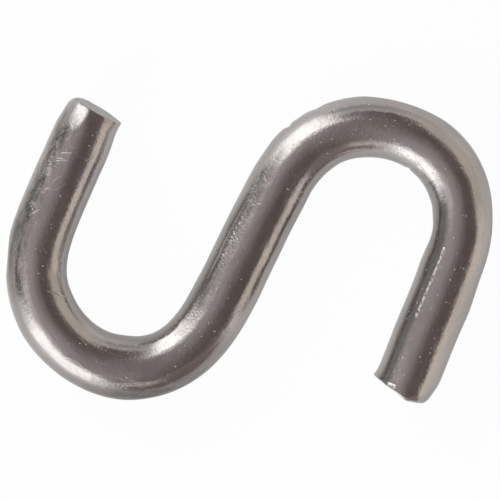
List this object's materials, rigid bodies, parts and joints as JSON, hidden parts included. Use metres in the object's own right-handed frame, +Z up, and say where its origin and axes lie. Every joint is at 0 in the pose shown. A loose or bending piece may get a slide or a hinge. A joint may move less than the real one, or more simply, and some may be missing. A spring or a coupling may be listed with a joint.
{
  "type": "s hook",
  "caption": "Open S hook bent from round steel wire with sheared ends, for hanging and linking chain, rope, rings and rods.",
  "frame": {"origin": "on the surface that the hook lies on, under the middle of the box that the hook fills", "axes": "the hook lies flat: +Z up through the wire's thickness, the straight shank along Y, the upper hook turns towards +X and the lower hook towards -X"},
  "size_m": [0.047, 0.0412, 0.0063],
  "materials": {
    "steel": "bright drawn wire with fine scuffs"
  },
  "bodies": {
    "root": {"hook": "steel"}
  },
  "joints": []
}
